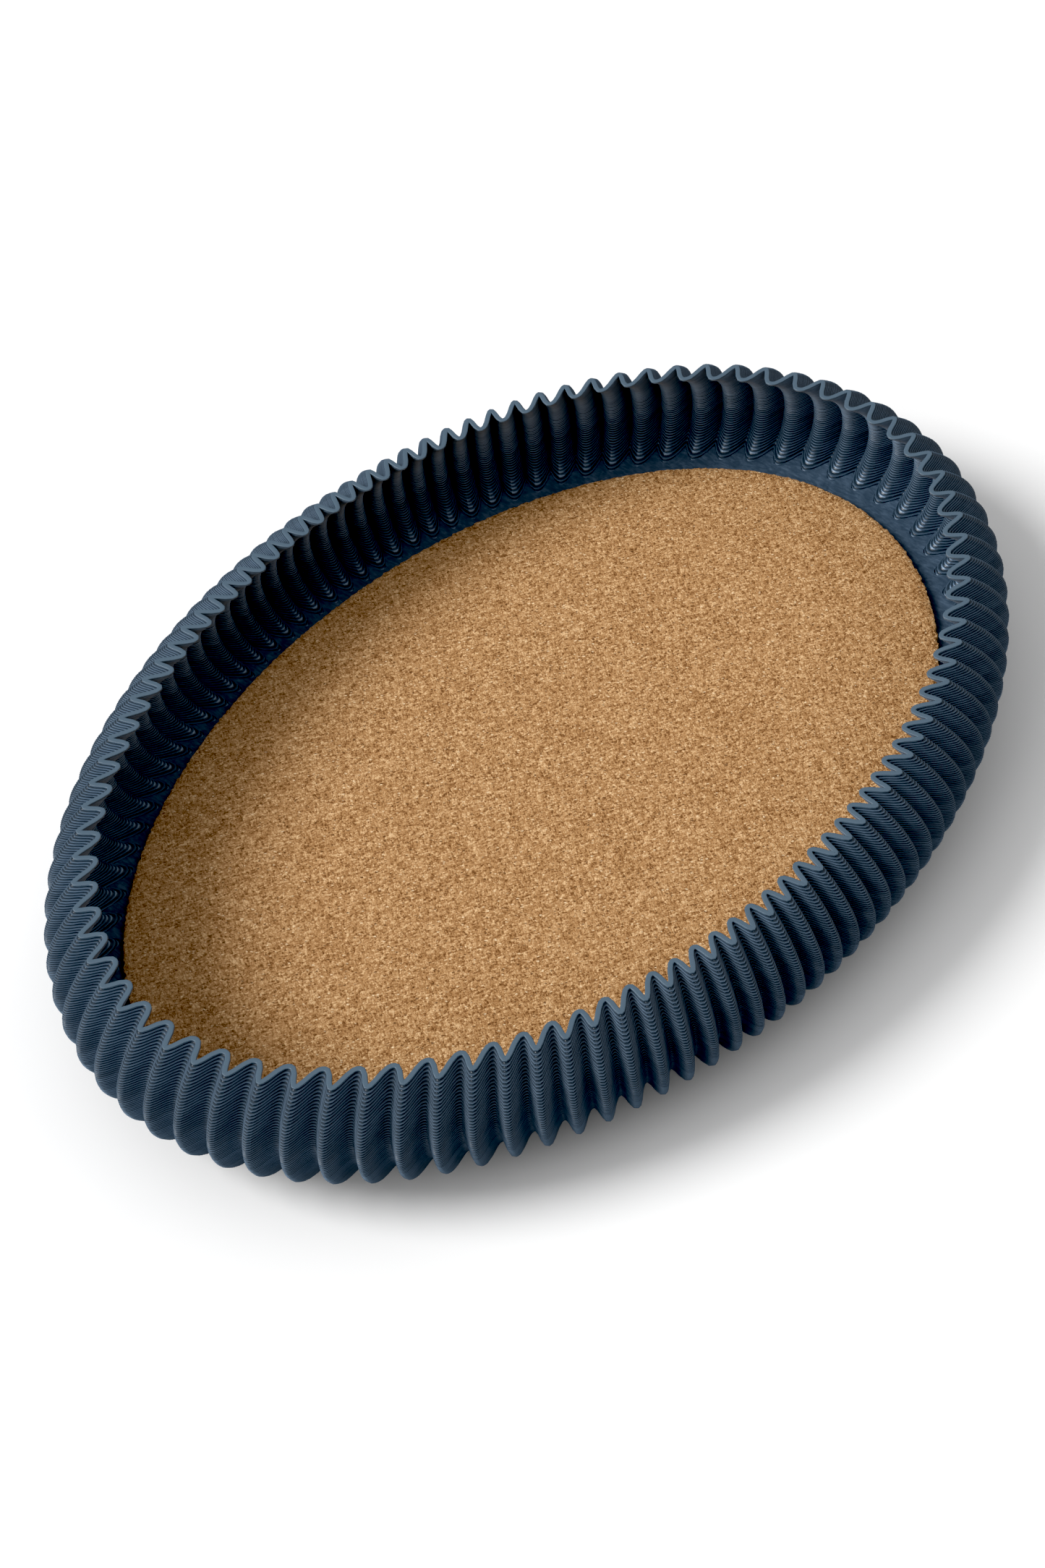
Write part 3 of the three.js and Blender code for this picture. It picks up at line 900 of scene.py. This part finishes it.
def add_camera():
    right, up, back = camera_axes()
    target = Vector((*CAMERA_TARGET, RIM_Z)) * MM
    data = bpy.data.cameras.new("camera")
    data.sensor_width = SENSOR
    data.lens = SENSOR * FOCAL_LENGTH_PER_HEIGHT
    data.clip_start = 0.01
    camera = bpy.data.objects.new("camera", data)
    turn = Matrix((right, up, back)).transposed().to_4x4()
    camera.matrix_world = Matrix.Translation(target + back * CAMERA_DISTANCE * MM) @ turn
    stand = bpy.data.objects.new("camera_stand", None)
    stand.location = camera.matrix_world.translation
    for thing in (camera, stand):
        bpy.context.scene.collection.objects.link(thing)
    bpy.context.scene.camera = camera
    shift_lens(camera, stand, "shift_x", LENS_SHIFT[0])
    shift_lens(camera, stand, "shift_y", LENS_SHIFT[1])


# Lamps: swing from the camera's left towards the far side, lift above the floor, softness, strength.
LAMPS = {
    "key": (math.radians(-3), math.radians(42), math.radians(28), 2.55),
    "fill": (math.radians(-38), math.radians(30), math.radians(50), 0.95),
    "edge": (math.radians(160), math.radians(20), math.radians(90), 0.5),
}


def add_lamp(name, swing, lift, spread, strength):
    """A broad lamp, placed by where it stands as seen from the camera."""
    _, _, back = camera_axes()
    away = Vector((-back.x, -back.y, 0)).normalized()
    side = Vector((away.y, -away.x, 0))
    towards = (-side * math.cos(swing) + away * math.sin(swing)) * math.cos(lift)
    towards += Vector((0, 0, math.sin(lift)))
    light = bpy.data.lights.new(name, "SUN")
    light.energy = strength
    light.angle = spread
    lamp = bpy.data.objects.new(name, light)
    lamp.rotation_mode = "QUATERNION"
    lamp.rotation_quaternion = towards.to_track_quat("Z", "Y")
    bpy.context.scene.collection.objects.link(lamp)


# Strength of the sky near the horizon and overhead, and where the camera sees it.
SKY_LOW = 0.08
SKY_HIGH = 0.6
SKY_SEEN = 0.95

# Sine of the height where the sky starts to brighten, and where it is brightest.
SKY_START = 0.15
SKY_END = 0.85


def add_sky():
    """Soft light that comes mostly from overhead, and an even pale backdrop where it is seen."""
    world = bpy.data.worlds.new("studio")
    world.use_nodes = True
    nodes, links = world.node_tree.nodes, world.node_tree.links
    direction = nodes.new("ShaderNodeTexCoord").outputs["Generated"]
    split = nodes.new("ShaderNodeSeparateXYZ")
    links.new(direction, split.inputs[0])
    spread = nodes.new("ShaderNodeMapRange")
    spread.interpolation_type = "SMOOTHSTEP"
    links.new(split.outputs["Z"], spread.inputs["Value"])
    for setting, value in (
        ("From Min", SKY_START),
        ("From Max", SKY_END),
        ("To Min", SKY_LOW),
        ("To Max", SKY_HIGH),
    ):
        spread.inputs[setting].default_value = value
    seen = nodes.new("ShaderNodeMix")
    links.new(nodes.new("ShaderNodeLightPath").outputs["Is Camera Ray"], seen.inputs["Factor"])
    links.new(spread.outputs["Result"], seen.inputs["A"])
    seen.inputs["B"].default_value = SKY_SEEN
    background = nodes["Background"]
    background.inputs["Color"].default_value = (1, 1, 1, 1)
    links.new(seen.outputs["Result"], background.inputs["Strength"])
    bpy.context.scene.world = world


BLACK_LEVEL = 0.02


def set_tones():
    """Plain display colours, with the darkest tones a little deeper."""
    view = bpy.context.scene.view_settings
    view.view_transform = "Standard"
    view.use_curve_mapping = True
    view.curve_mapping.black_level = (BLACK_LEVEL, BLACK_LEVEL, BLACK_LEVEL)
    view.curve_mapping.update()


add_floor()
add_camera()
for name, setting in LAMPS.items():
    add_lamp(name, *setting)
add_sky()
set_tones()
